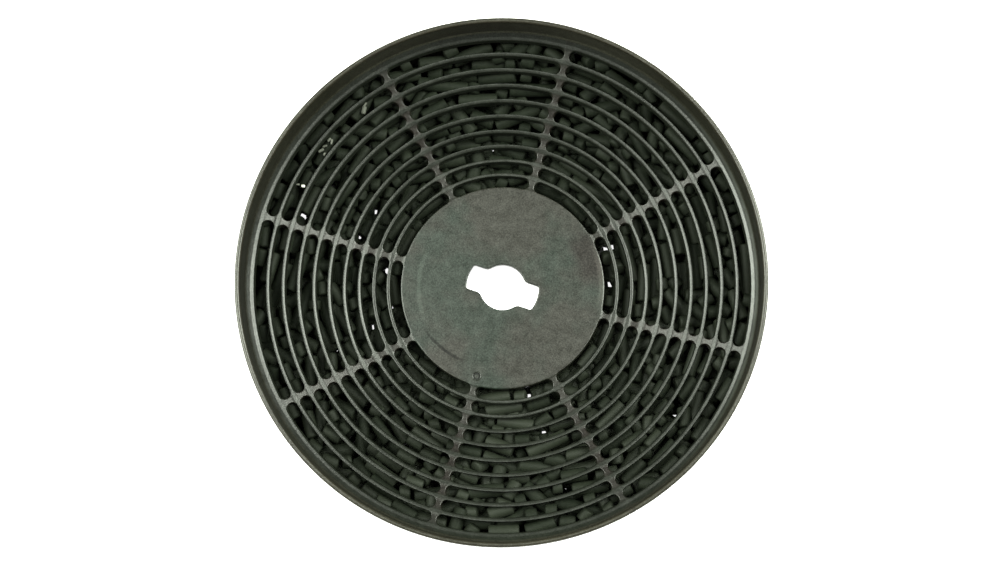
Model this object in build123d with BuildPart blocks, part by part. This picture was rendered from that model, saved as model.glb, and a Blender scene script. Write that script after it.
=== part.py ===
"""Round carbon filter for a cooker hood: a moulded housing with a dished grille,
a flat back cover that closes it, and the carbon pellets held between the two.

Millimetres, +Z out of the dished front face, origin on the bottom of the back
at the filter's axis.
"""
import os
from math import asin, cos, degrees, radians, sin, sqrt, tan

from build123d import *

os.makedirs("parts", exist_ok=True)

# Outside of the filter
rim_radius = 75.0
wall = 1.4
hub_radius = 29.8
dish_depth = 22.1

# Carbon pellets: extruded rods, held back by slots narrower than they are
pellet_diameter = 4.0
pellet_length = 12.0
pellet_sides = 6
pellet_hold = 0.72
pellet_turn = 137.5
pellet_spacing = 0.2
pellet_wall_gap = 0.3

# Front grille: flat round the hub, then a cone that rises to a ledge at the wall
plate = 2.0
bed_depth = 8.2
cone_rise = 11.0
flat_rows = 3
flat_margin = 0.3
bar_width = 0.96
ledge_width = 2.0
spokes = 8
spoke_angle = 29.2
spoke_width = 2.2

# Bayonet hole: a round hole and two lobes that share its centre
bayonet_hole = 13.4
bayonet_span = 21.3
bayonet_lobe = 7.3
bayonet_angle = 161.0
bayonet_round = 1.0
lobe_corner = 0.5

# Core: the short tube that walls the pellets off from the hub's open back
core_gap = 0.6

# Back cover: a flat disc, welded to the ends of the outer wall and the core
cover = 1.6
cover_bar = 2.4
cover_spoke = 3.0
cover_margin = 2.0

slot_width = pellet_diameter - pellet_hold
slot_pitch = slot_width + bar_width
inner_radius = rim_radius - wall
slot_rows = int((inner_radius - ledge_width - hub_radius + bar_width) / slot_pitch)
slots_outer = hub_radius + slot_rows * slot_pitch - bar_width
flat_radius = hub_radius + flat_rows * slot_pitch + flat_margin
hub_top = cover + bed_depth + plate
rim_height = hub_top + dish_depth
slope = cone_rise / (slots_outer - flat_radius)
sector = 360 / spokes
first_sector = spoke_angle + sector / 2
core_outer = hub_radius - core_gap
core_inner = core_outer - wall


def grille_top(radius):
    """Height of the grille's front face at a radius outside the flat zone."""
    return hub_top + (radius - flat_radius) * slope


def arc_slot(inner, outer):
    """One slot of the front grille, between two arcs and two spokes."""
    reach = sector / 2 - degrees(asin(spoke_width / (inner + outer)))
    with BuildSketch(mode=Mode.PRIVATE) as slot:
        with BuildLine():
            far = CenterArc((0, 0), outer, -reach, 2 * reach)
            near = CenterArc((0, 0), inner, -reach, 2 * reach)
            Line(far @ 0, near @ 0)
            Line(far @ 1, near @ 1)
        make_face()
    return slot.sketch


def straight_slot(inner, outer):
    """One slot of the back cover, straight across a sector and cut off along both spokes."""
    lean = radians(sector / 2)
    spoke_edge = cover_spoke / 2 / cos(lean)
    near = inner * tan(lean) - spoke_edge
    far = outer * tan(lean) - spoke_edge
    with BuildSketch(mode=Mode.PRIVATE) as slot:
        Polygon((inner, -near), (outer, -far), (outer, far), (inner, near), align=None)
    return slot.sketch


# Housing: one moulding, turned from its half section and then pierced
housing_section = [
    (0, hub_top),
    (flat_radius, hub_top),
    (inner_radius, grille_top(inner_radius)),
    (inner_radius, rim_height),
    (rim_radius, rim_height),
    (rim_radius, cover),
    (inner_radius, cover),
    (inner_radius, grille_top(inner_radius) - plate),
    (flat_radius, hub_top - plate),
    (core_outer, hub_top - plate),
    (core_outer, cover),
    (core_inner, cover),
    (core_inner, hub_top - plate),
    (0, hub_top - plate),
]

with BuildPart() as housing:
    with BuildSketch(Plane.XZ):
        with BuildLine():
            Polyline(*housing_section, close=True)
        make_face()
    revolve(axis=Axis.Z)

    with BuildSketch():
        for row in range(slot_rows):
            slot_inner = hub_radius + row * slot_pitch
            slot = arc_slot(slot_inner, slot_inner + slot_width)
            with PolarLocations(0, spokes, start_angle=first_sector):
                add(slot)
    extrude(amount=rim_height, mode=Mode.SUBTRACT)

    with BuildSketch() as bayonet:
        Circle(bayonet_span / 2)
        Rectangle(bayonet_span, bayonet_lobe, rotation=bayonet_angle, mode=Mode.INTERSECT)
        fillet(bayonet.vertices(), lobe_corner)
        Circle(bayonet_hole / 2)
        roots = bayonet.vertices().group_by(lambda corner: Vector(corner).length)[0]
        fillet(roots, bayonet_round)
    extrude(amount=rim_height, mode=Mode.SUBTRACT)

housing.part.label = "front_housing"
export_step(housing.part, "parts/front_housing.step")

# Back cover: rows of straight slots between the same spokes as the front
cover_pitch = slot_width + cover_bar
cover_first = core_outer + cover_margin
cover_last = (inner_radius - cover_margin) * cos(radians(sector / 2))
cover_rows = int((cover_last - cover_first + cover_bar) / cover_pitch)

with BuildPart() as back_cover:
    with BuildSketch():
        Circle(rim_radius)
        Circle(core_inner, mode=Mode.SUBTRACT)
        for row in range(cover_rows):
            slot_inner = cover_first + row * cover_pitch
            slot = straight_slot(slot_inner, slot_inner + slot_width)
            with PolarLocations(0, spokes, start_angle=first_sector):
                add(slot, mode=Mode.SUBTRACT)
    extrude(amount=cover)

back_cover.part.label = "back_cover"
export_step(back_cover.part, "parts/back_cover.step")

# Carbon pellets: lying on the cover at scattered angles, one node for each sector
pellet_reach = sqrt(pellet_length**2 + pellet_diameter**2) / 2
pellet_step = 2 * pellet_reach + pellet_spacing
bed_inner = core_outer + pellet_wall_gap
bed_outer = inner_radius - pellet_wall_gap
pellet_rows = int((bed_outer - bed_inner + pellet_spacing) / pellet_step)
pellet_height = pellet_diameter / 2 * cos(radians(180 / pellet_sides))


def pellet_places():
    """Radius and angle of each pellet in a sector that starts at angle zero."""
    places = []
    for row in range(pellet_rows):
        radius = bed_inner + pellet_reach + row * pellet_step
        count = int(sector / degrees(2 * asin(pellet_step / 2 / radius)))
        for number in range(count):
            places.append((radius, (number + 0.5) * sector / count))
    return places


for chamber in range(spokes):
    with BuildPart() as pellets:
        for number, (radius, angle) in enumerate(pellet_places()):
            place = radians(spoke_angle + chamber * sector + angle)
            turn = radians((number + chamber) * pellet_turn)
            centre = (radius * cos(place), radius * sin(place), cover + pellet_height)
            along = (cos(turn), sin(turn), 0)
            across = (-sin(turn), cos(turn), 0)
            with BuildSketch(Plane(origin=centre, x_dir=across, z_dir=along)):
                RegularPolygon(pellet_diameter / 2, pellet_sides)
            extrude(amount=pellet_length / 2, both=True)
    name = f"carbon_pellets_{chamber + 1}"
    pellets.part.label = name
    export_step(pellets.part, f"parts/{name}.step")
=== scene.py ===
"""Looks for the round carbon filter: its moulded housing with the dished grille, the
back cover and the loose carbon pellets, on a pale floor in soft studio light."""
from math import asin, atan, atan2, cos, hypot, pi, radians, sin, sqrt

import bpy
import numpy as np
from mathutils import Matrix, Vector


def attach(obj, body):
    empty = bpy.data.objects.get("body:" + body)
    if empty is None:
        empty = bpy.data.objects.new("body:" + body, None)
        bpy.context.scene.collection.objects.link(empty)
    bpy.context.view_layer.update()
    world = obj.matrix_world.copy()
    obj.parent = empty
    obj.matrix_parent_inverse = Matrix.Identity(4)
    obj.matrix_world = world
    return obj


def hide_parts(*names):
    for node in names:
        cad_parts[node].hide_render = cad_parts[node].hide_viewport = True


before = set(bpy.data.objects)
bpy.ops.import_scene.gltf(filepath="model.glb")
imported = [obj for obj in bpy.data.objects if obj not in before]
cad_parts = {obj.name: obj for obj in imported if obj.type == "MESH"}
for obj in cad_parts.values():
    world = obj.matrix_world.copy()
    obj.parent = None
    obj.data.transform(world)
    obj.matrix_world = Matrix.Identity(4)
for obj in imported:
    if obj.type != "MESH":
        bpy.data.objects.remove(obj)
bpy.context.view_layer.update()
bpy.ops.object.select_all(action="DESELECT")
scene = bpy.context.scene
scene.view_settings.view_transform = "Standard"

# Camera: 500 mm from the middle of the rim, 7.7 degrees below its axis and 1.7
# degrees to the right, as in the photograph, where the rim is 533 pixels wide.
bpy.ops.object.camera_add(
    location=(0.0147, -0.0670, 0.5292), rotation=(radians(7.7), radians(1.7), radians(0.15)))
camera = bpy.context.object
camera.data.sensor_width = 36
camera.data.lens = 64.22
camera.data.shift_x = 0.0004
camera.data.shift_y = -0.0037
camera.data.clip_start = 0.01
scene.camera = camera

# Floor: a wide pale sheet that glows a little, so that it reads white round the
# filter and through the hole and the gaps between the pellets.


def linear(code):
    """The linear colour of an sRGB hex code, as Blender's sockets take it."""
    parts = [int(code[i:i + 2], 16) / 255 for i in (0, 2, 4)]
    return [p / 12.92 if p <= 0.04045 else ((p + 0.055) / 1.055) ** 2.4 for p in parts] + [1.0]


def add_node(tree, kind, inputs=None, **settings):
    """Adds a shader node; an input is a value or another node's output."""
    made = tree.nodes.new(kind)
    for name, value in settings.items():
        setattr(made, name, value)
    for name, value in (inputs or {}).items():
        if isinstance(value, bpy.types.NodeSocket):
            tree.links.new(value, made.inputs[name])
        else:
            made.inputs[name].default_value = value
    return made


bpy.ops.mesh.primitive_plane_add(size=6, location=(0, 0, -0.0003))
floor = bpy.context.object
floor.name = "floor"

# matt white paint, with a glow of its own so that no shadow greys it
floor_paint = bpy.data.materials.new("floor_paint")
floor_paint.use_nodes = True
tree = floor_paint.node_tree
tree.nodes.clear()
shader = add_node(tree, "ShaderNodeBsdfPrincipled", {
    "Base Color": linear("F4F4F2"),
    "Roughness": 0.9,
    "Emission Color": linear("FFFFFF"),
    "Emission Strength": 1.0,
})
add_node(tree, "ShaderNodeOutputMaterial", {"Surface": shader.outputs["BSDF"]})
floor.data.materials.append(floor_paint)

# Studio: a tall softbox on each side, mirrored by the sides of the cone, a weak one
# overhead for the flat hub, and a dim grey surround.
for name, place, size, power in (
    ("softbox_left", (-0.62, 0.08, 0.66), (0.4, 0.95), 18.3),
    ("softbox_right", (0.62, 0.19, 0.66), (0.4, 0.85), 20.5),
    ("softbox_top", (0.0, 0.22, 1.1), (0.5, 0.5), 0.3),
):
    bpy.ops.object.light_add(type="AREA", location=place)
    light = bpy.context.object
    light.name = name
    light.data.shape = "RECTANGLE"
    light.data.size = size[0]
    light.data.size_y = size[1]
    light.data.energy = power
    light.data.color = linear("F8FFF0")[:3]
    light.rotation_euler = (-Vector(place)).to_track_quat("-Z", "Y").to_euler()
world = bpy.data.worlds.new("surround")
world.use_nodes = True
world.node_tree.nodes["Background"].inputs["Color"].default_value = linear("FFFFFF")
world.node_tree.nodes["Background"].inputs["Strength"].default_value = 0.33
scene.world = world

# Front housing: one injection moulding in black polypropylene. Its dished grille, its
# outer wall with the rounded lip and the core tube behind its hub are grids of rings
# and columns, wrapped into shape and joined. Millimetres.
spokes = 8
columns = 26
end_columns = 5
first_spoke = radians(29.2)
sector = 2 * pi / spokes
hub_radius = 29.8
slot_width = 3.28
slot_pitch = 4.24
slot_rows = 10
spoke_width = 1.5
flat_radius = 42.82
slope = 0.387
hub_top = 11.8
plate = 2.0
wall_inner = 73.6
wall_outer = 75.0
core_inner = 27.8
core_outer = 29.2
rim_top = 33.9
back = 1.6
lip = 0.65
edge = 0.2
edge_steps = (0.0, 0.06, 0.2, 0.5)
lobe_turn = radians(161.0)
lobe_spokes = 3
draft = 0.16
web_drop = 0.15
web_round = 0.4
mark_radius = 27.1
mark_turn = radians(254.1)
half_slot = slot_width / 2

# the third bar leans in from the flat, and the cone rises in a straight line outside it
bar_foot = (41.5, 0.0)
bar_crest = (42.5, 0.39)
cone_start = 45.8
cone_radii = (bar_foot[0], bar_crest[0], cone_start, wall_inner)
cone_rises = (bar_foot[1], bar_crest[1],
              (cone_start - flat_radius) * slope, (wall_inner - flat_radius) * slope)

# outside the last slot the face turns up to the wall in runs: slope in degrees, length
ledge = 0.86
ledge_runs = ((27, 0.1), (36, 0.1), (44, 0.1), (46, 0.84), (46, 0.84), (64, 0.12), (76, 0.12), (86, 0.12))


def face_height(radius):
    """Height of the grille's front face, before its edges are rounded."""
    return hub_top + float(np.interp(radius, cone_radii, cone_rises))


def slot_end(row):
    """Angle from the spoke's middle to the centre of a slot's round end."""
    middle = hub_radius + row * slot_pitch + half_slot
    return (spoke_width / 2 + half_slot) / middle


def edge_distance(radius, angle):
    """Distance from a point of the grille to the nearest slot's edge."""
    nearest = 9.0
    for row in range(slot_rows):
        middle = hub_radius + row * slot_pitch + half_slot
        if abs(radius - middle) > 3:
            continue
        end = slot_end(row)
        away = abs(radius - middle)
        if angle < end:
            away = hypot(radius * cos(end - angle) - middle, radius * sin(end - angle))
        nearest = min(nearest, abs(away - half_slot))
    return nearest


def outline(count):
    """Points round the bayonet hole at even steps, anticlockwise from a lobe's middle."""
    # radius of the hole and of the lobes' tips, half a lobe's width, and two roundings
    hole, span, lobe, root, corner = 6.7, 10.65, 3.65, 2.2, 0.8
    quarter = []
    tip = asin((lobe - corner) / (span - corner))
    for i in range(13):
        quarter.append((span * cos(tip * i / 12), span * sin(tip * i / 12)))
    centre = ((span - corner) * cos(tip), lobe - corner)
    for i in range(1, 9):
        turn = tip + (pi / 2 - tip) * i / 8
        quarter.append((centre[0] + corner * cos(turn), centre[1] + corner * sin(turn)))
    side = lobe + root
    along = sqrt((hole + root) ** 2 - side ** 2)
    meet = atan(side / along)
    for i in range(9):
        turn = -pi / 2 - (pi / 2 - meet) * i / 8
        quarter.append((along + root * cos(turn), side + root * sin(turn)))
    for i in range(1, 13):
        turn = meet + (pi / 2 - meet) * i / 12
        quarter.append((hole * cos(turn), hole * sin(turn)))
    line = quarter + [(-x, y) for x, y in quarter[-2::-1]]
    line += [(-x, -y) for x, y in line[1:]]
    line = np.array(line)
    run = np.concatenate([[0], np.cumsum(np.hypot(*np.diff(line, axis=0).T))])
    steps = np.linspace(0, run[-1], count + 1)
    return np.stack([np.interp(steps, run, line[:, 0]), np.interp(steps, run, line[:, 1])], 1)


def wrap(rings, stations, place):
    """Adds a grid and moves each of its vertices to place(ring, station)."""
    bpy.ops.mesh.primitive_grid_add(x_subdivisions=stations, y_subdivisions=rings - 1, size=2)
    made = bpy.context.object
    for vertex in made.data.vertices:
        station = round((vertex.co.x + 1) / 2 * stations)
        ring = round((vertex.co.y + 1) / 2 * (rings - 1))
        vertex.co = [c / 1000 for c in place(ring, station % stations)]
    return made


# rings of the dish from the hole to the wall: (radius or share of the hub, kind, row)
rings = [(step, "hole", 0) for step in edge_steps]
rings += [(share, "hub", 0) for share in (0.15, 0.35, 0.6, 0.8, 0.93)]
rings += [(hub_radius - step, "plain", 0) for step in reversed(edge_steps)]
for row in range(slot_rows):
    middle = hub_radius + row * slot_pitch + half_slot
    for step in range(-3, 4):
        rings.append((middle + half_slot * sin(radians(22.5 * step)), "slot", row))
    outer = middle + half_slot
    gap = slot_pitch - slot_width
    offsets = (0.0, 0.06, 0.2, gap / 2, gap - 0.2, gap - 0.06, gap)
    if row == slot_rows - 1:
        offsets = edge_steps + (0.7,)
    rings += [(outer + offset, "bar", row) for offset in offsets]
turn_up = [(outer + ledge, face_height(outer + ledge))]
for angle, run in ledge_runs:
    radius, height = turn_up[-1]
    turn_up.append((radius + run * cos(radians(angle)), height + run * sin(radians(angle))))
rings += [(number, "bend", slot_rows - 1) for number in range(len(turn_up))]
rings.append((wall_inner + 0.6, "inside", slot_rows - 1))
stations = spokes * columns
hole_line = outline(stations)
hole_normal = np.roll(hole_line[:-1], 1, 0) - np.roll(hole_line[:-1], -1, 0)
hole_normal = np.stack([-hole_normal[:, 1], hole_normal[:, 0]], 1)
hole_normal /= np.hypot(*hole_normal.T)[:, None]


def column_angle(ring, column):
    """Angle of a column from its spoke's middle, on one ring."""
    size, kind, row = rings[ring]
    if kind == "slot":
        middle = hub_radius + row * slot_pitch + half_slot
        across = sqrt(max(0.0, half_slot ** 2 - (size - middle) ** 2))
        start = slot_end(row) - across / size
    elif kind == "bar" and row < slot_rows - 1:
        share = (size - hub_radius - row * slot_pitch - slot_width) / (slot_pitch - slot_width)
        start = slot_end(row) * (1 - share) + slot_end(row + 1) * share
    else:
        start = slot_end(row)
    scale = 1 / max(size, 30)
    reach = (0.0, min(start * 0.62, start - 0.3 * scale), min(start * 0.78, start - 0.26 * scale),
             start - 0.22 * scale, start - 0.07 * scale, start)
    if column <= end_columns:
        return reach[column]
    if column >= columns - end_columns:
        return sector - reach[columns - column]
    return start + (sector - 2 * start) * (column - end_columns) / (columns - 2 * end_columns)


def dish_place(ring, station):
    """Where a vertex of the dish goes."""
    size, kind, row = rings[ring]
    spoke, column = divmod(station, columns)
    local = column_angle(ring, column)
    angle = first_spoke + spoke * sector + local
    if kind in ("hole", "hub"):
        number = (station - lobe_spokes * columns) % stations
        start = Vector(hole_line[number])
        away = Vector(hole_normal[number])
        drop = 0.0
        if kind == "hole":
            start += away * size
            drop = edge - sqrt(edge ** 2 - max(0.0, edge - size) ** 2)
            size = 0.0
        else:
            start += away * edge_steps[-1]
        start.rotate(Matrix.Rotation(lobe_turn, 2))
        goal = Vector((cos(angle), sin(angle))) * (hub_radius - edge_steps[-1])
        x, y = start.lerp(goal, size)
        return (x, y, hub_top - drop)
    if kind == "bend":
        radius, height = turn_up[size]
    elif kind == "inside":
        radius, height = size, turn_up[-1][1]
    else:
        radius = size
        distance = edge_distance(radius, min(local, sector - local))
        height = face_height(radius) - edge + sqrt(edge ** 2 - max(0.0, edge - distance) ** 2)
        if kind == "slot":
            middle = hub_radius + row * slot_pitch + half_slot
            height -= web_drop * min(1.0, (half_slot - abs(radius - middle)) / web_round)
    return (radius * cos(angle), radius * sin(angle), height)


housing = wrap(len(rings), stations, dish_place)
housing.name = "front_housing_skin"
bpy.ops.object.mode_set(mode="EDIT")
bpy.ops.mesh.select_mode(type="FACE")
bpy.ops.mesh.select_all(action="DESELECT")
bpy.ops.object.mode_set(mode="OBJECT")
for face in housing.data.polygons:
    ring, station = divmod(face.index, stations)
    column = station % columns
    over_slot = "slot" in (rings[ring][1], rings[ring + 1][1])
    face.select = over_slot and end_columns <= column < columns - end_columns
bpy.ops.object.mode_set(mode="EDIT")
bpy.ops.mesh.delete(type="FACE")
bpy.ops.mesh.select_all(action="SELECT")
bpy.ops.mesh.remove_doubles(threshold=0.000002)
bpy.ops.mesh.extrude_region_move(TRANSFORM_OT_translate={"value": (0, 0, -plate / 1000)})
bpy.ops.object.mode_set(mode="OBJECT")

# the slots narrow a little towards the back, with the mould's draft
for vertex in housing.data.vertices:
    x, y = vertex.co.x * 1000, vertex.co.y * 1000
    row = int((hypot(x, y) - hub_radius + 0.1) // slot_pitch)
    if not vertex.select or not 0 <= row < slot_rows:
        continue
    middle = hub_radius + row * slot_pitch + half_slot
    turned = (atan2(y, x) - first_spoke) % sector
    away = min(max(turned, slot_end(row)), sector - slot_end(row)) + atan2(y, x) - turned
    to_middle = Vector((middle * cos(away) - x, middle * sin(away) - y, 0))
    if abs(to_middle.length - half_slot) < 0.03:
        vertex.co += to_middle.normalized() * draft / 1000

# the wall with its rounded lip and the core tube, each turned from a closed outline
turns = [pi / 2 * step / 5 for step in range(6)]
wall_line = [(wall_inner, back)]
wall_line += [(wall_inner + lip * (1 - cos(a)), rim_top - lip * (1 - sin(a))) for a in turns]
wall_line += [(wall_outer - lip * (1 - sin(a)), rim_top - lip * (1 - cos(a))) for a in turns]
wall_line += [(wall_outer, back)]
core_top = hub_top - plate + 0.1
core_line = [(core_inner, back), (core_inner, core_top), (core_outer, core_top), (core_outer, back)]
parts = [housing]
for line in (wall_line, core_line):
    closed = line + line[:1]
    parts.append(wrap(len(closed), stations, lambda ring, station: (
        closed[ring][0] * cos(station * 2 * pi / stations),
        closed[ring][0] * sin(station * 2 * pi / stations),
        closed[ring][1],
    )))

# the moulding's small ring mark on the hub
mark = (mark_radius * cos(mark_turn), mark_radius * sin(mark_turn), hub_top)
bpy.ops.mesh.primitive_torus_add(
    location=[c / 1000 for c in mark], major_radius=0.0012, minor_radius=0.00022,
    major_segments=32, minor_segments=8)
parts.append(bpy.context.object)
for part in parts:
    part.select_set(True)
bpy.context.view_layer.objects.active = housing
bpy.ops.object.join()
bpy.ops.object.transform_apply(location=True, rotation=True, scale=True)
bpy.ops.object.mode_set(mode="EDIT")
bpy.ops.mesh.select_all(action="SELECT")
bpy.ops.mesh.remove_doubles(threshold=0.000002)
bpy.ops.mesh.normals_make_consistent(inside=False)
bpy.ops.object.mode_set(mode="OBJECT")
bpy.ops.object.shade_smooth_by_angle(angle=radians(50))

# Moulded polypropylene, black, with the mould's fine matt grain: it gives a grey bloom
# under the lamps, with faint green and brown clouds, and is lighter and browner on the lip.
# Some light and shade is painted into its colour: highlight lines on the ledge at the
# right, a shade ring in the ring mark, and light and shade on the inside of the wall.
# The real grain is finer than a pixel and is drawn coarser, about 0.4 mm wide, as are
# the rubbing marks round the rim. Wear comes in patches of 3 mm and clouds of 20 mm.
grain_per_mm = 2.4
rubbing_per_mm = 2.5
wear_per_mm = 0.35
clouds_per_mm = 0.05
plastic = bpy.data.materials.new("black_moulded_plastic")
plastic.use_nodes = True
tree = plastic.node_tree
tree.nodes.clear()
place = add_node(tree, "ShaderNodeTexCoord")
millimetres = add_node(tree, "ShaderNodeVectorMath", {
    0: place.outputs["Object"], 1: (1000, 1000, 1000)}, operation="MULTIPLY")
level = add_node(tree, "ShaderNodeVectorMath", {
    0: millimetres.outputs["Vector"], 1: (1, 1, 0)}, operation="MULTIPLY")
from_axis = add_node(tree, "ShaderNodeVectorMath", {0: level.outputs["Vector"]}, operation="LENGTH")
split = add_node(tree, "ShaderNodeSeparateXYZ", {"Vector": millimetres.outputs["Vector"]})
down = add_node(tree, "ShaderNodeMath", {0: split.outputs["Y"], 1: -1.0}, operation="MULTIPLY")
around = add_node(tree, "ShaderNodeMath", {
    0: split.outputs["X"], 1: down.outputs["Value"]}, operation="ARCTAN2")
axis_distance = from_axis.outputs["Value"]
bearing = around.outputs["Value"]
grain = add_node(tree, "ShaderNodeTexNoise", {
    "Vector": millimetres.outputs["Vector"], "Scale": grain_per_mm, "Detail": 2.0, "Roughness": 0.6})
wear = add_node(tree, "ShaderNodeTexNoise", {
    "Vector": millimetres.outputs["Vector"], "Scale": wear_per_mm, "Detail": 5.0, "Roughness": 0.65})
clouds = add_node(tree, "ShaderNodeTexNoise", {
    "Vector": millimetres.outputs["Vector"], "Scale": clouds_per_mm, "Detail": 3.0, "Roughness": 0.55})


def band(value, middle, half):
    """A mask that is 1 where value is near middle and fades to 0 at half away from it."""
    off = add_node(tree, "ShaderNodeMath", {0: value, 1: middle}, operation="SUBTRACT")
    off = add_node(tree, "ShaderNodeMath", {0: off.outputs["Value"]}, operation="ABSOLUTE")
    mask = add_node(tree, "ShaderNodeMapRange", {
        "Value": off.outputs["Value"], "From Min": half, "From Max": half * 0.3},
        interpolation_type="SMOOTHSTEP")
    return mask.outputs["Result"]


def both(one, two, strength):
    """Two masks multiplied, at a strength."""
    shared = add_node(tree, "ShaderNodeMath", {0: one, 1: two}, operation="MULTIPLY")
    shared = add_node(tree, "ShaderNodeMath", {
        0: shared.outputs["Value"], 1: strength}, operation="MULTIPLY")
    return shared.outputs["Value"]


# hub with its clouds, the grille round it, and the rim
clouded = add_node(tree, "ShaderNodeValToRGB", {"Fac": clouds.outputs["Fac"]})
clouded.color_ramp.elements[0].position = 0.42
clouded.color_ramp.elements[0].color = linear("121C14")
clouded.color_ramp.elements[1].position = 0.58
clouded.color_ramp.elements[1].color = linear("1C1B15")
on_hub = add_node(tree, "ShaderNodeMapRange", {
    "Value": axis_distance, "From Min": 31.0, "From Max": 29.4})
tint = add_node(tree, "ShaderNodeMix", {
    0: on_hub.outputs["Result"], 6: linear("181B15"), 7: clouded.outputs["Color"]}, data_type="RGBA")
on_rim = add_node(tree, "ShaderNodeMapRange", {
    "Value": axis_distance, "From Min": 73.0, "From Max": 73.5})
tint = add_node(tree, "ShaderNodeMix", {
    0: on_rim.outputs["Result"], 6: tint.outputs[2], 7: linear("25231A")}, data_type="RGBA")

# webs of the spokes between the bars, a little darker and browner than the bars
off_spoke = add_node(tree, "ShaderNodeMath", {0: bearing, 1: first_spoke}, operation="SUBTRACT")
off_spoke = add_node(tree, "ShaderNodeMath", {
    0: off_spoke.outputs["Value"], 1: sector / 2}, operation="PINGPONG")
off_spoke = add_node(tree, "ShaderNodeMath", {
    0: off_spoke.outputs["Value"], 1: axis_distance}, operation="MULTIPLY")
off_row = add_node(tree, "ShaderNodeMath", {
    0: axis_distance, 1: hub_radius + half_slot}, operation="SUBTRACT")
off_row = add_node(tree, "ShaderNodeMath", {
    0: off_row.outputs["Value"], 1: slot_pitch / 2}, operation="PINGPONG")
on_spoke = band(off_spoke.outputs["Value"], 0.0, 2.0)
between_bars = both(on_spoke, band(off_row.outputs["Value"], 0.0, 2.2), 1.0)
web = both(between_bars, band(axis_distance, 50.5, 29.5), 1.0)
tint = add_node(tree, "ShaderNodeMix", {
    0: web, 6: tint.outputs[2], 7: linear("1C1814")}, data_type="RGBA")

# wall below the lip: outside it darker and plain; inside it dull, and its colour there is
# painted light and shade: lighter than the plastic, palest at the top, darkest at the sides
below_lip = add_node(tree, "ShaderNodeMapRange", {
    "Value": split.outputs["Z"], "From Min": 33.4, "From Max": 32.4})
on_wall = both(on_rim.outputs["Result"], below_lip.outputs["Result"], 1.0)
inward = add_node(tree, "ShaderNodeMapRange", {
    "Value": axis_distance, "From Min": 74.4, "From Max": 74.0})
wall_sheen = add_node(tree, "ShaderNodeMapRange", {
    "Value": inward.outputs["Result"], "To Min": 0.2, "To Max": 0.02})
up_wall = add_node(tree, "ShaderNodeMapRange", {
    "Value": split.outputs["Y"], "From Min": -73.0, "From Max": 73.0})
inner_wall_painted_light = add_node(tree, "ShaderNodeValToRGB", {"Fac": up_wall.outputs["Result"]})
inner_wall_painted_light.color_ramp.elements[0].color = linear("2A2A24")
inner_wall_painted_light.color_ramp.elements[1].color = linear("3A3A32")
inner_wall_painted_light.color_ramp.elements.new(0.5).color = linear("20201C")
inner_wall_painted_light.color_ramp.elements.new(0.88).color = linear("26261F")
wall_tint_and_light = add_node(tree, "ShaderNodeMix", {
    0: inward.outputs["Result"], 6: linear("121310"), 7: inner_wall_painted_light.outputs["Color"]}, data_type="RGBA")
tint = add_node(tree, "ShaderNodeMix", {
    0: on_wall, 6: tint.outputs[2], 7: wall_tint_and_light.outputs[2]}, data_type="RGBA")

# marks, painted highlights and painted shade that make the plastic lighter or darker,
# each a mask at its strength; bearings are in radians from the bottom, with the right
# side positive
right_side = band(bearing, 1.57, 1.0)
# painted highlights: a light line on the ledge's crest and one on its slope up to the wall, on the right
# side only, where the lamps light them
crest_highlight = both(band(axis_distance, 71.75, 0.5), right_side, 0.8)
slope_highlight = both(band(axis_distance, 72.85, 0.45), right_side, 1.3)
# a lighter arc on the left of the hub and a lighter band round the hub's right edge
lighter_hub_arc = both(band(axis_distance, 24.6, 0.9), band(bearing, -1.6, 0.62), 0.4)
lighter_hub_edge = both(band(axis_distance, 29.0, 1.2), band(bearing, 1.66, 0.4), 0.6)
web_shade = both(web, web, -0.22)
spiral = add_node(tree, "ShaderNodeMath", {
    0: bearing, 1: 2.39, 2: axis_distance}, operation="MULTIPLY_ADD")
scratch = both(band(spiral.outputs["Value"], 23.2, 0.6), band(bearing, -0.78, 0.4), -0.7)
# painted shade: a dark ring inside the raised ring mark, standing for the shade of an engraved groove
from_mark = add_node(tree, "ShaderNodeVectorMath", {
    0: level.outputs["Vector"], 1: (mark[0], mark[1], 0)}, operation="DISTANCE")
groove_shade = both(band(from_mark.outputs["Value"], 0.8, 0.35), 1.0, -0.75)
stain = both(band(axis_distance, 26.6, 5.5), band(bearing, 1.9, 0.42), 1.0)
smudge = both(stain, wear.outputs["Fac"], -0.75)
from_smear = add_node(tree, "ShaderNodeVectorMath", {
    0: level.outputs["Vector"], 1: (7.7, 6.6, 0)}, operation="DISTANCE")
smear = both(band(from_smear.outputs["Value"], 0.0, 2.4), wear.outputs["Fac"], 0.4)
round_the_rim = add_node(tree, "ShaderNodeCombineXYZ", {
    "X": axis_distance, "Y": bearing, "Z": split.outputs["Z"]})
polish = add_node(tree, "ShaderNodeTexNoise", {
    "Vector": round_the_rim.outputs["Vector"], "Scale": rubbing_per_mm, "Detail": 3.0,
    "Roughness": 0.6})
polish = add_node(tree, "ShaderNodeMapRange", {
    "Value": polish.outputs["Fac"], "From Min": 0.3, "From Max": 0.7, "To Min": -0.4, "To Max": 0.4})
on_lip = add_node(tree, "ShaderNodeMapRange", {
    "Value": split.outputs["Z"], "From Min": 32.4, "From Max": 33.4, "To Min": 0.2})
polish = both(polish.outputs["Result"], both(on_rim.outputs["Result"], on_lip.outputs["Result"], 1.0), 1.0)
blotch = add_node(tree, "ShaderNodeMapRange", {
    "Value": wear.outputs["Fac"], "From Min": 0.3, "From Max": 0.7, "To Min": -0.15, "To Max": 0.15})
speckle = add_node(tree, "ShaderNodeMapRange", {
    "Value": grain.outputs["Fac"], "From Min": 0.25, "From Max": 0.75, "To Min": -0.5, "To Max": 0.5})
marks = (lighter_hub_arc, crest_highlight, slope_highlight, web_shade, scratch, lighter_hub_edge, groove_shade, smudge, smear,
         polish, blotch.outputs["Result"])
shade = speckle.outputs["Result"]
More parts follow.
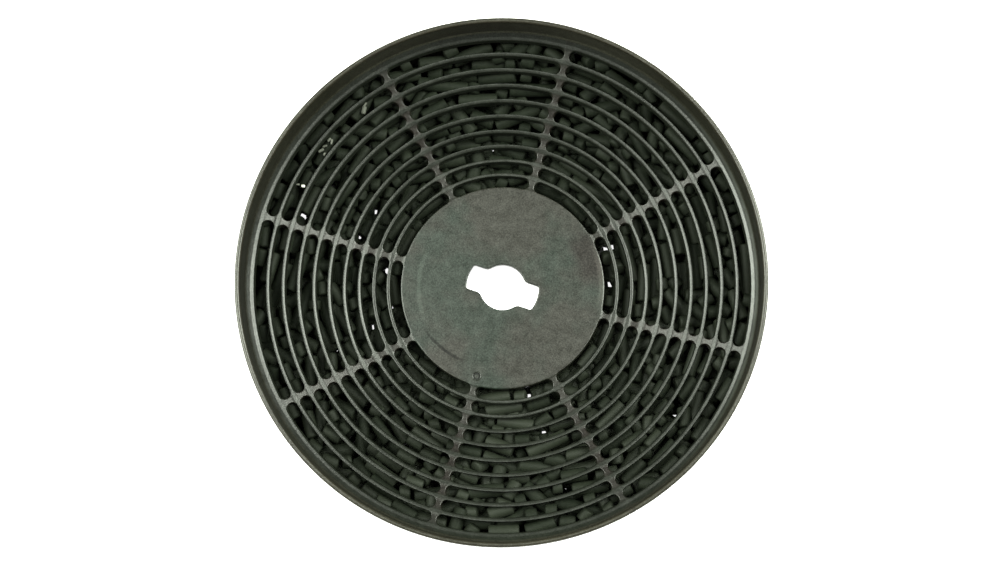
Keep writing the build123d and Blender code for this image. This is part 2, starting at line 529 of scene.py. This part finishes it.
for change in marks:
    shade = add_node(tree, "ShaderNodeMath", {0: shade, 1: change}, operation="ADD").outputs["Value"]
tint = add_node(tree, "ShaderNodeMix", {
    0: stain, 6: tint.outputs[2], 7: linear("1E1914")}, data_type="RGBA")
factor = add_node(tree, "ShaderNodeMath", {0: shade, 1: 1.0}, operation="ADD")
colour = add_node(tree, "ShaderNodeVectorMath", {
    0: tint.outputs[2], "Scale": factor.outputs["Value"]}, operation="SCALE")
sheen = add_node(tree, "ShaderNodeMapRange", {
    "Value": shade, "From Min": -0.6, "From Max": 0.6, "To Min": 0.3, "To Max": 0.7})
sheen = add_node(tree, "ShaderNodeMix", {
    "Factor": on_wall, "A": sheen.outputs["Result"], "B": wall_sheen.outputs["Result"]}, data_type="FLOAT")
rough = add_node(tree, "ShaderNodeMapRange", {
    "Value": wear.outputs["Fac"], "From Min": 0.3, "From Max": 0.7, "To Min": 0.3, "To Max": 0.4})
bump = add_node(tree, "ShaderNodeBump", {
    "Height": grain.outputs["Fac"], "Strength": 0.5, "Distance": 0.00006})
shader = add_node(tree, "ShaderNodeBsdfPrincipled", {
    "Base Color": colour.outputs["Vector"],
    "Roughness": rough.outputs["Result"],
    "Specular IOR Level": sheen.outputs["Result"],
    "Normal": bump.outputs["Normal"],
})
add_node(tree, "ShaderNodeOutputMaterial", {"Surface": shader.outputs["BSDF"]})
housing.data.materials.clear()
housing.data.materials.append(plastic)
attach(housing, "root")
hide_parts("front_housing")

# Back cover: a flat grille moulded in the same polypropylene and welded to the ends of
# the wall and the core. Its CAD form is kept.
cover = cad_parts["back_cover"]

# moulded polypropylene off a plainer mould, so it is even in colour and duller
dull = bpy.data.materials.new("cover_plastic")
dull.use_nodes = True
tree = dull.node_tree
tree.nodes.clear()
shader = add_node(tree, "ShaderNodeBsdfPrincipled", {
    "Base Color": linear("1E1F1D"),
    "Roughness": 0.6,
})
add_node(tree, "ShaderNodeOutputMaterial", {"Surface": shader.outputs["BSDF"]})
cover.data.materials.clear()
cover.data.materials.append(dull)

# Carbon pellets: activated carbon extruded as rods and broken to length, lying loose
# behind the grille. They are dropped one by one on the cover, each to where it first
# touches those below it, until the bed is full. Millimetres.
pellet_radius = 2.0
bed_inner = 29.4
bed_outer = 73.4
squeeze = 1.62
tries = 16
most_misses = 200
most_pellets = 1100
bed_middle = 8.0
sight_step = 0.4
sight_edge = 0.3
bit_edge = 2.2
bit_inset = 2.6
bit_misses = 60
eye = np.array([14.7, -67.0, 529.2])

# gaps where light comes through the bed: place at its middle height, and radius
spots = ((-59.5, 21.3, 1.3), (-2.9, 41.5, 0.55), (-37.9, 23.1, 0.5), (32.4, 12.2, 0.5), (30.1, 11.4, 1.1),
         (31.3, 1.3, 0.9), (-34.4, 5.4, 0.55), (-32.4, -5.8, 0.5), (-38.1, -11.6, 0.5), (-48.5, -18.4, 0.3),
         (-42.3, 15.4, 0.25), (18.2, -58.4, 0.25),
         (7.8, -31.4, 0.7), (50.2, -37.2, 0.35), (12.1, -42.1, 0.6))
rng = np.random.default_rng(7)


def passes(sights, centre, along):
    """Where along a pellet's axis each line of sight passes, and how far beside it."""
    ray = sights - eye
    ray /= np.linalg.norm(ray, axis=-1, keepdims=True)
    side = centre - eye
    side = side - (side * ray).sum(-1, keepdims=True) * ray
    lean = along - (along * ray).sum(-1, keepdims=True) * ray
    run = -(side * lean).sum(-1) / (lean ** 2).sum(-1)
    return np.abs(run), np.linalg.norm(side + run[..., None] * lean, axis=-1)


# of a few places and tilts tried for each pellet, the one that lies lowest is kept
laid = np.zeros((0, 3))
pellets = []
misses = 0
while misses < most_misses and len(pellets) < most_pellets:
    length = float(np.clip(rng.normal(9.0, 3.2), 3.5, 15.0)) * (1 - 0.5 * misses / most_misses)
    radius = bed_inner + (bed_outer - bed_inner) * rng.random()
    angle = rng.uniform(0, 2 * pi)
    patch = np.array([radius * cos(angle), radius * sin(angle), 0])
    middle = patch + rng.uniform(-5, 5, (tries, 3)) * (1, 1, 0)
    turn = np.arctan2(middle[:, 1], middle[:, 0]) + pi / 2
    turn += rng.normal(0, 0.35, tries) if rng.random() < 0.6 else rng.uniform(0, pi, tries)
    tilt = rng.normal(0, 0.12 if rng.random() > 0.12 else 0.6, tries)
    along = np.stack([np.cos(turn) * np.cos(tilt), np.sin(turn) * np.cos(tilt), np.sin(tilt)], 1)
    steps = np.linspace(-1, 1, 5) * max(0.0, length / 2 - pellet_radius * 0.8)
    points = middle[:, None, :] + along[:, None, :] * steps[None, :, None]
    flat = np.hypot(points[..., 0], points[..., 1])
    fits = (flat.max(1) < bed_outer - pellet_radius) & (flat.min(1) > bed_inner + pellet_radius)
    rest = back + pellet_radius - points[..., 2].min(1)
    near = laid[np.hypot(laid[:, 0] - patch[0], laid[:, 1] - patch[1]) < 11 + length / 2]
    if len(near):
        apart = ((points[:, :, None, :2] - near[None, None, :, :2]) ** 2).sum(-1)
        lift = np.sqrt(np.clip((squeeze * pellet_radius) ** 2 - apart, 0, None))
        raised = np.where(lift > 0, near[None, None, :, 2] + lift, -99) - points[:, :, 2][:, :, None]
        rest = np.maximum(rest, raised.max((1, 2)))
    roof = hub_top - plate + np.clip(flat - flat_radius, 0, None) * slope - pellet_radius
    fits &= (points[..., 2] + rest[:, None] < roof + 0.05).all(1)
    for x, y, gap in spots:
        run, side = passes(np.array([x, y, bed_middle]), middle + rest[:, None] * [0, 0, 1], along)
        fits &= (run > length / 2 + gap) | (side > pellet_radius + gap)
    if not fits.any():
        misses += 1
        continue
    misses = 0
    depth = np.where(fits, rest, 99)
    best = int(depth.argmin())
    laid = np.concatenate([laid, points[best] + [0, 0, rest[best]]])
    pellets.append((middle[best] + [0, 0, rest[best]], along[best], length))

# short broken bits fill what light still shows through, apart from those gaps
span = np.arange(-bed_outer, bed_outer, sight_step)
open_x, open_y = [axis.ravel() for axis in np.meshgrid(span, span)]
spread = np.hypot(open_x, open_y)
inside = (spread > bed_inner + sight_edge) & (spread < bed_outer - sight_edge)
sights = np.stack([open_x, open_y, np.full(len(open_x), bed_middle)], 1)[inside]
for x, y, gap in spots:
    sights = sights[np.hypot(sights[:, 0] - x, sights[:, 1] - y) > gap + sight_edge]
kept = np.array([(x + gap * cos(turn), y + gap * sin(turn), bed_middle)
                 for x, y, gap in spots for turn in range(6)])


def unblocked(sights, centre, along, length):
    """Those lines of sight that one pellet doesn't block."""
    run, side = passes(sights, centre, along)
    return sights[(run > length / 2 - sight_edge) | (side > pellet_radius - 0.1)]


for pellet in pellets:
    sights = unblocked(sights, *pellet)
misses = 0
while len(sights):
    x, y, _ = sights[rng.integers(len(sights))]
    scale = min(hypot(x, y), bed_outer - bit_inset)
    scale = max(scale, bed_inner + bit_inset) / hypot(x, y)
    turn = rng.uniform(0, pi)
    shift = rng.uniform(-1.5, 1.5, 2)
    height = back + pellet_radius + rng.uniform(0, 1.0)
    bit = (np.array([x * scale + shift[0], y * scale + shift[1], height]),
           np.array([cos(turn), sin(turn), 0.0]), rng.uniform(3.0, 4.5))
    reach = np.hypot(*bit[0][:2])
    left = unblocked(sights, *bit)
    misses += 1
    in_bed = bed_inner + bit_edge < reach < bed_outer - bit_edge
    if in_bed and len(left) < len(sights) and len(unblocked(kept, *bit)) == len(kept):
        sights = left
        pellets.append(bit)
        misses = 0
    elif misses > bit_misses:
        sights = sights[np.hypot(sights[:, 0] - x, sights[:, 1] - y) > sight_edge]
        misses = 0

# painted glints: small pale rods in the outer slots, painted light for glints of light
# seen between the pellets there: place, turn in degrees, length, radius, paleness
painted_glints = (((-50.6, 42.6, 19.2), 50, 1.3, 0.4, 0.09), ((-49.9, 42.0, 19.0), 80, 1.5, 0.35, 0.12),
          ((-51.8, 40.7, 19.2), 20, 1.4, 0.35, 0.07), ((-52.9, 39.4, 19.3), 30, 1.8, 0.45, 0.08),
          ((-52.0, 38.4, 18.9), 60, 1.0, 0.3, 0.12), ((-40.5, 51.4, 19.3), 80, 2.3, 0.7, 0.07),
          ((-40.2, 53.0, 19.5), 60, 1.5, 0.35, 0.08), ((-58.0, 28.9, 18.9), 0, 1.1, 0.45, 1.0),
          ((-59.5, 29.3, 19.4), 0, 1.0, 0.3, 0.1))
rods = [(centre, along, length, pellet_radius, 0) for centre, along, length in pellets]
for centre, turn, length, radius, paleness in painted_glints:
    rods.append((centre, (cos(radians(turn)), sin(radians(turn)), 0.0), length, radius, paleness))

# one short rod with chamfered ends is stretched and copied for every pellet and painted glint
rod_length = 2.0
bpy.ops.mesh.primitive_cylinder_add(vertices=12, radius=pellet_radius / 1000, depth=rod_length / 1000)
rod = bpy.context.object
bpy.ops.object.mode_set(mode="EDIT")
bpy.ops.mesh.select_all(action="DESELECT")
bpy.ops.mesh.select_mode(type="FACE")
bpy.ops.object.mode_set(mode="OBJECT")
for face in rod.data.polygons:
    face.select = len(face.vertices) > 4
bpy.ops.object.mode_set(mode="EDIT")
bpy.ops.mesh.region_to_loop()
bpy.ops.mesh.bevel(offset=0.0005, segments=2)
bpy.ops.object.mode_set(mode="OBJECT")

# Extruded activated carbon: dull grey-black with a dusty skin, the colour of each pellet
# its own. It is greyer towards the bottom of the camera's view, which is painted light,
# for the light falling into the lower slots from above. The dust is finer than a pixel
# and is drawn coarser, in specks of about 1 mm. The painted glints take a pale colour.
dust_per_metre = 900.0
carbon = bpy.data.materials.new("extruded_carbon")
carbon.use_nodes = True
tree = carbon.node_tree
tree.nodes.clear()
place = add_node(tree, "ShaderNodeTexCoord")
tone_and_light = add_node(tree, "ShaderNodeAttribute", attribute_name="tone_and_light")
dust = add_node(tree, "ShaderNodeTexNoise", {
    "Vector": place.outputs["Object"], "Scale": dust_per_metre, "Detail": 4.0, "Roughness": 0.7})
mixed = add_node(tree, "ShaderNodeMath", {
    0: dust.outputs["Fac"], 1: tone_and_light.outputs["Fac"]}, operation="ADD")
tint = add_node(tree, "ShaderNodeValToRGB", {"Fac": mixed.outputs["Value"]})
tint.color_ramp.elements[0].position = 0.3
tint.color_ramp.elements[0].color = linear("10140F")
tint.color_ramp.elements[1].position = 1.0
tint.color_ramp.elements[1].color = linear("20241C")
gloss = add_node(tree, "ShaderNodeMapRange", {
    "Value": tone_and_light.outputs["Fac"], "From Min": 0.0, "From Max": 0.6, "To Min": 0.04, "To Max": 0.2})
pale = add_node(tree, "ShaderNodeMapRange", {
    "Value": tone_and_light.outputs["Fac"], "From Min": 1.0, "From Max": 2.0})
tint = add_node(tree, "ShaderNodeMix", {
    0: pale.outputs["Result"], 6: tint.outputs["Color"], 7: linear("E8E8DC")}, data_type="RGBA")
bump = add_node(tree, "ShaderNodeBump", {
    "Height": dust.outputs["Fac"], "Strength": 0.4, "Distance": 0.0002})
shader = add_node(tree, "ShaderNodeBsdfPrincipled", {
    "Base Color": tint.outputs[2], "Roughness": 0.6, "Specular IOR Level": gloss.outputs["Result"],
    "Normal": bump.outputs["Normal"]})
add_node(tree, "ShaderNodeOutputMaterial", {"Surface": shader.outputs["BSDF"]})
for number in range(spokes):
    group = []
    for centre, along, length, radius, paleness in rods:
        chamber = int(((np.arctan2(centre[1], centre[0]) - first_spoke) % (2 * pi)) / sector)
        if chamber != number:
            continue
        one = rod.copy()
        one.data = rod.data.copy()
        bpy.context.collection.objects.link(one)
        turned = Vector(along).to_track_quat("Z", "X").to_matrix().to_4x4()
        roll = Matrix.Rotation(rng.uniform(0, pi), 4, "Z")
        for vertex in one.data.vertices:
            vertex.co.x *= radius / pellet_radius
            vertex.co.y *= radius / pellet_radius
            vertex.co.z += (length - rod_length) / 2000 * (1 if vertex.co.z > 0 else -1)
        one.data.transform(Matrix.Translation(Vector(centre) / 1000) @ turned @ roll)
        attribute = one.data.attributes.new("tone_and_light", "FLOAT", "POINT")
        # painted light: pellets towards the bottom of the view are made lighter and more varied, and those
        # at the top left darker and plainer
        lit_toward_bottom = 0.5 + 0.5 * cos(atan2(centre[1], centre[0]) + radians(72))
        value = 0.3 + rng.uniform(-0.3, 0.3) * (0.3 + 0.9 * lit_toward_bottom) + 0.25 * (lit_toward_bottom - 0.6)
        value = 1 + paleness if paleness else value
        attribute.data.foreach_set("value", [value] * len(one.data.vertices))
        group.append(one)
    bpy.ops.object.select_all(action="DESELECT")
    for one in group:
        one.select_set(True)
    bpy.context.view_layer.objects.active = group[0]
    bpy.ops.object.join()
    bed = bpy.context.object
    bed.name = f"pellets_{number + 1}"
    bed.matrix_world = Matrix.Identity(4)
    bpy.ops.object.shade_smooth_by_angle(angle=radians(50))
    bed.data.materials.clear()
    bed.data.materials.append(carbon)
    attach(bed, "root")
    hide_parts(f"carbon_pellets_{number + 1}")
bpy.data.objects.remove(rod)
